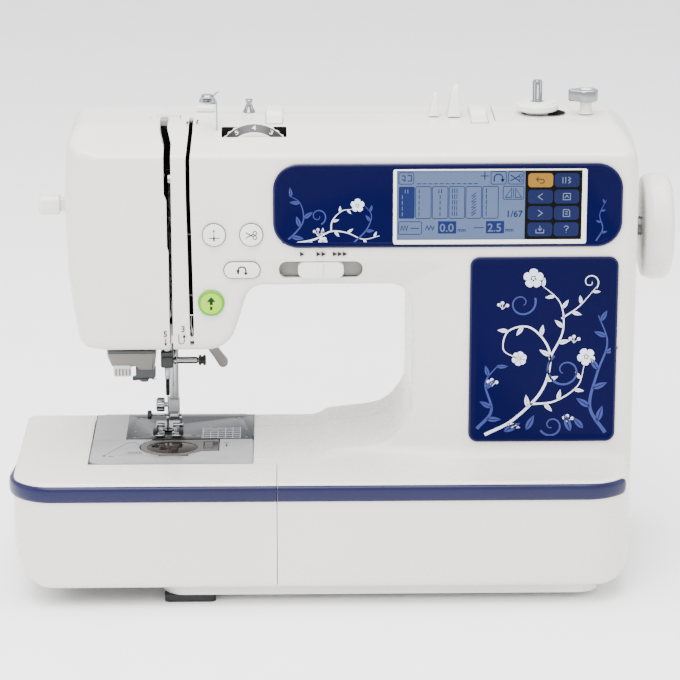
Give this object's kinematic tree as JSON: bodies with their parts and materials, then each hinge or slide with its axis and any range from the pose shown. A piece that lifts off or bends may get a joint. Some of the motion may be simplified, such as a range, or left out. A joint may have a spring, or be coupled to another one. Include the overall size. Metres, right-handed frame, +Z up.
{
  "type": "sewing machine",
  "caption": "Electronic household sewing machine with free arm, slide-off table, touch display, speed slider, handwheel and folding carry handle.",
  "frame": {"origin": "centre of the bounding box in plan, at the level of the rubber feet", "axes": "+X towards the handwheel, -Y towards the user, +Z up"},
  "size_m": [0.419, 0.192, 0.3125],
  "materials": {
    "white_abs": "fine moulded white ABS, semi-gloss",
    "navy_gloss": "polished navy plastic",
    "grey_plastic": "light grey moulded plastic",
    "dark_plastic": "black moulded plastic",
    "green_key": "translucent lime green key",
    "clear_plastic": "smoked see-through plastic",
    "lcd_glass": "display glass",
    "bobbin_plastic": "clear plastic bobbin",
    "cast_alu": "die-cast aluminium",
    "plate_steel": "satin steel plate",
    "steel": "ground steel",
    "chrome": "polished chrome plate",
    "rubber": "black rubber",
    "board": "green circuit board",
    "lamp": "warm white lamp lens"
  },
  "bodies": {
    "machine": {"base_plate": "white_abs", "rubber_feet": "rubber", "front_cover": "white_abs", "rear_cover": "white_abs", "face_cover": "white_abs", "winder_cover": "white_abs", "base_stripe": "navy_gloss", "arm_frame": "cast_alu", "free_arm": "white_abs", "needle_plate": "plate_steel", "plate_cover": "grey_plastic", "display_bezel": "navy_gloss", "lcd_frame": "white_abs", "touch_panel": "lcd_glass", "decor_panel": "navy_gloss", "drive_motor": "dark_plastic", "circuit_board": "board", "power_inlet": "dark_plastic", "thread_guides": "chrome", "winder_stop": "chrome", "work_lamp": "lamp", "bobbin_case": "dark_plastic", "drive_belts": "rubber", "cover_screws": "steel", "spool_stand": "white_abs"},
    "drive": {"handwheel": "white_abs", "main_shaft": "steel"},
    "lower_drive": {"lower_shaft": "steel"},
    "hook": {"rotary_hook": "steel"},
    "motor_rotor": {"motor_pulley": "steel"},
    "needle_unit": {"needle_bar": "chrome", "needle_clamp": "dark_plastic", "needle": "chrome"},
    "clamp_thumbscrew": {"clamp_screw": "dark_plastic"},
    "link": {"needle_link": "cast_alu"},
    "take_up": {"take_up_lever": "chrome"},
    "lift_lever": {"presser_lever": "grey_plastic"},
    "presser": {"presser_bar": "chrome", "foot_holder": "steel"},
    "foot_thumbscrew": {"foot_screw": "chrome"},
    "foot": {"presser_foot": "chrome"},
    "threader_handle": {"threader_lever": "white_abs"},
    "threader": {"threader_unit": "grey_plastic"},
    "needle_button": {"needle_key": "white_abs"},
    "cutter_button": {"cutter_key": "white_abs"},
    "reverse_button": {"reverse_key": "white_abs"},
    "start_button": {"start_key": "green_key"},
    "slider": {"speed_slider": "white_abs"},
    "dial": {"tension_dial": "white_abs"},
    "handle": {"carry_handle": "white_abs"},
    "table": {"extension_table": "white_abs", "table_stripe": "navy_gloss", "accessory_tray": "grey_plastic"},
    "bobbin_lid": {"bobbin_cover": "clear_plastic"},
    "latch": {"cover_latch": "dark_plastic"},
    "bobbin_body": {"bobbin": "bobbin_plastic"},
    "winder": {"winder_spindle": "chrome"},
    "switch": {"power_switch": "dark_plastic"},
    "feed": {"feed_dog": "steel"},
    "spool_holder": {"spool_pin": "white_abs"}
  },
  "joints": [
    {"name": "handwheel_turn", "type": "hinge", "parent": "machine", "child": "drive", "pos_m": [0.1995, 0.012, 0.2177], "axis": [1, 0, 0], "continuous": true},
    {"name": "lower_shaft_turn", "type": "hinge", "parent": "machine", "child": "lower_drive", "pos_m": [0, -0.0082, 0.0585], "axis": [1, 0, 0], "continuous": true},
    {"name": "hook_turn", "type": "hinge", "parent": "machine", "child": "hook", "pos_m": [-0.109, -0.023, 0.0585], "axis": [0, 0, 1], "continuous": true},
    {"name": "motor_turn", "type": "hinge", "parent": "machine", "child": "motor_rotor", "pos_m": [0.1126, 0.048, 0.046], "axis": [1, 0, 0], "continuous": true},
    {"name": "needle_bar_slide", "type": "slide", "parent": "machine", "child": "needle_unit", "axis": [0, 0, 1], "range_m": [-0.031, 0]},
    {"name": "clamp_screw_turn", "type": "hinge", "parent": "needle_unit", "child": "clamp_thumbscrew", "pos_m": [-0.0975, 0.005, 0.1317], "axis": [1, 0, 0], "range_deg": [-180, 180]},
    {"name": "link_swing", "type": "hinge", "parent": "needle_unit", "child": "link", "pos_m": [-0.1029, 0.005, 0.19685], "axis": [1, 0, 0], "range_deg": [-26, 24]},
    {"name": "take_up_turn", "type": "hinge", "parent": "machine", "child": "take_up", "pos_m": [-0.108, -0.006, 0.2282], "axis": [1, 0, 0], "range_deg": [0, 55.1]},
    {"name": "presser_lever_turn", "type": "hinge", "parent": "machine", "child": "lift_lever", "pos_m": [-0.095, 0.03, 0.148], "axis": [0, -1, 0], "range_deg": [0, 50.1]},
    {"name": "presser_bar_slide", "type": "slide", "parent": "machine", "child": "presser", "axis": [0, 0, 1], "range_m": [0, 0.006]},
    {"name": "foot_screw_turn", "type": "hinge", "parent": "presser", "child": "foot_thumbscrew", "pos_m": [-0.1167, 0.017, 0.098], "axis": [1, 0, 0], "range_deg": [-180, 180]},
    {"name": "foot_tilt", "type": "hinge", "parent": "presser", "child": "foot", "pos_m": [-0.1087, 0.0088, 0.0923], "axis": [1, 0, 0], "range_deg": [-1, 1]},
    {"name": "threader_lever_slide", "type": "slide", "parent": "machine", "child": "threader_handle", "axis": [0, 0, 1], "range_m": [-0.03, 0]},
    {"name": "threader_slide", "type": "slide", "parent": "machine", "child": "threader", "axis": [0, 0, 1], "range_m": [-0.0241, 0]},
    {"name": "needle_key_press", "type": "slide", "parent": "machine", "child": "needle_button", "axis": [0, 1, 0], "range_m": [0, 0.0012], "stiffness_N_per_m": 300},
    {"name": "cutter_key_press", "type": "slide", "parent": "machine", "child": "cutter_button", "axis": [0, 1, 0], "range_m": [0, 0.0012], "stiffness_N_per_m": 300},
    {"name": "reverse_key_press", "type": "slide", "parent": "machine", "child": "reverse_button", "axis": [0, 1, 0], "range_m": [0, 0.0012], "stiffness_N_per_m": 300},
    {"name": "start_key_press", "type": "slide", "parent": "machine", "child": "start_button", "axis": [0, 1, 0], "range_m": [0, 0.0012], "stiffness_N_per_m": 300},
    {"name": "speed_slider_move", "type": "slide", "parent": "machine", "child": "slider", "axis": [1, 0, 0], "range_m": [-0.0114, 0.0114]},
    {"name": "tension_dial_turn", "type": "hinge", "parent": "machine", "child": "dial", "pos_m": [-0.0552, -0.028, 0.269], "axis": [0, 1, 0], "range_deg": [-150, 150]},
    {"name": "handle_lift", "type": "hinge", "parent": "machine", "child": "handle", "pos_m": [-0.0426, -0.004, 0.2875], "axis": [1, 0, 0], "range_deg": [0, 95]},
    {"name": "table_pull", "type": "slide", "parent": "machine", "child": "table", "axis": [-1, 0, 0], "range_m": [0, 0.22]},
    {"name": "bobbin_cover_tilt", "type": "hinge", "parent": "machine", "child": "bobbin_lid", "pos_m": [-0.109, -0.0391, 0.0811], "axis": [1, 0, 0], "range_deg": [0, 80]},
    {"name": "latch_slide", "type": "slide", "parent": "machine", "child": "latch", "axis": [1, 0, 0], "range_m": [0, 0.003]},
    {"name": "bobbin_turn", "type": "hinge", "parent": "machine", "child": "bobbin_body", "pos_m": [-0.109, -0.023, 0.0745], "axis": [0, 0, 1], "continuous": true},
    {"name": "winder_turn", "type": "hinge", "parent": "machine", "child": "winder", "pos_m": [0.1238, 0.017, 0.2915], "axis": [0, 0, 1], "continuous": true},
    {"name": "power_switch_rock", "type": "hinge", "parent": "machine", "child": "switch", "pos_m": [0.185, 0.024, 0.053], "axis": [0, 1, 0], "range_deg": [-10, 0]},
    {"name": "feed_dog_drop", "type": "slide", "parent": "machine", "child": "feed", "axis": [0, 0, 1], "range_m": [-0.0025, 0]},
    {"name": "spool_pin_raise", "type": "hinge", "parent": "machine", "child": "spool_holder", "pos_m": [0.06, 0.046, 0.2855], "axis": [0, 1, 0], "range_deg": [0, 90]}
  ],
  "couplings": [
    {"joint": "lower_shaft_turn", "follows": "handwheel_turn", "ratio": 1},
    {"joint": "hook_turn", "follows": "handwheel_turn", "ratio": 2},
    {"joint": "motor_turn", "follows": "handwheel_turn", "ratio": 2.6},
    {"joint": "take_up_turn", "follows": "needle_bar_slide", "rad_per_m": -30.965},
    {"joint": "presser_lever_turn", "follows": "presser_bar_slide", "rad_per_m": 145.44},
    {"joint": "threader_slide", "follows": "threader_lever_slide", "ratio": 0.8}
  ]
}
